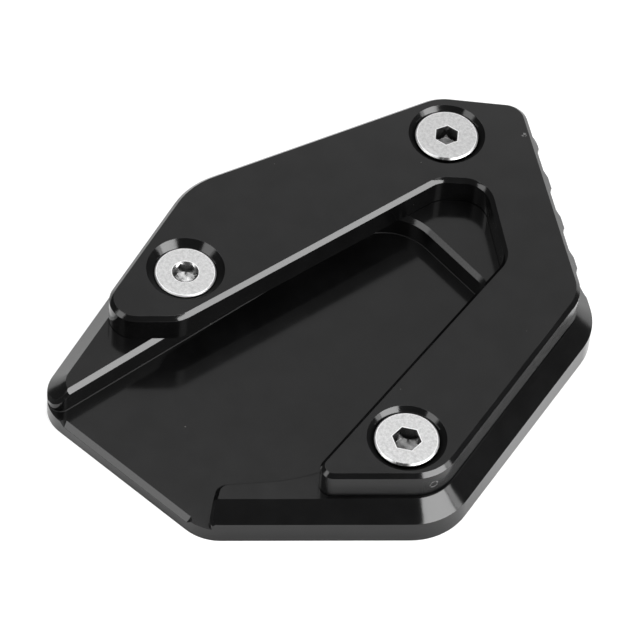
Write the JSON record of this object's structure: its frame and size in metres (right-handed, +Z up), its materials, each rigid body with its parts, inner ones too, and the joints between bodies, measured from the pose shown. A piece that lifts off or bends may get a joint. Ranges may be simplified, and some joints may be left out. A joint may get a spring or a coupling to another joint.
{
  "type": "kickstand foot enlarger",
  "caption": "Bolted two-plate foot that widens a motorcycle side stand's footprint, with a pocket open at one side for the stand's own foot.",
  "frame": {"origin": "middle of the underside's bounding rectangle, on the ground plane", "axes": "+X along the open mouth of the pocket, +Y from the mouth into the pocket, +Z up, from the ground to the stand"},
  "size_m": [0.0846, 0.113, 0.0144],
  "materials": {
    "anodised": "black anodised, fine satin",
    "stainless": "satin stainless"
  },
  "bodies": {
    "root": {"base_plate": "anodised", "clamp_plate": "anodised", "screw_left": "stainless", "screw_top": "stainless", "screw_right": "stainless"}
  },
  "joints": []
}
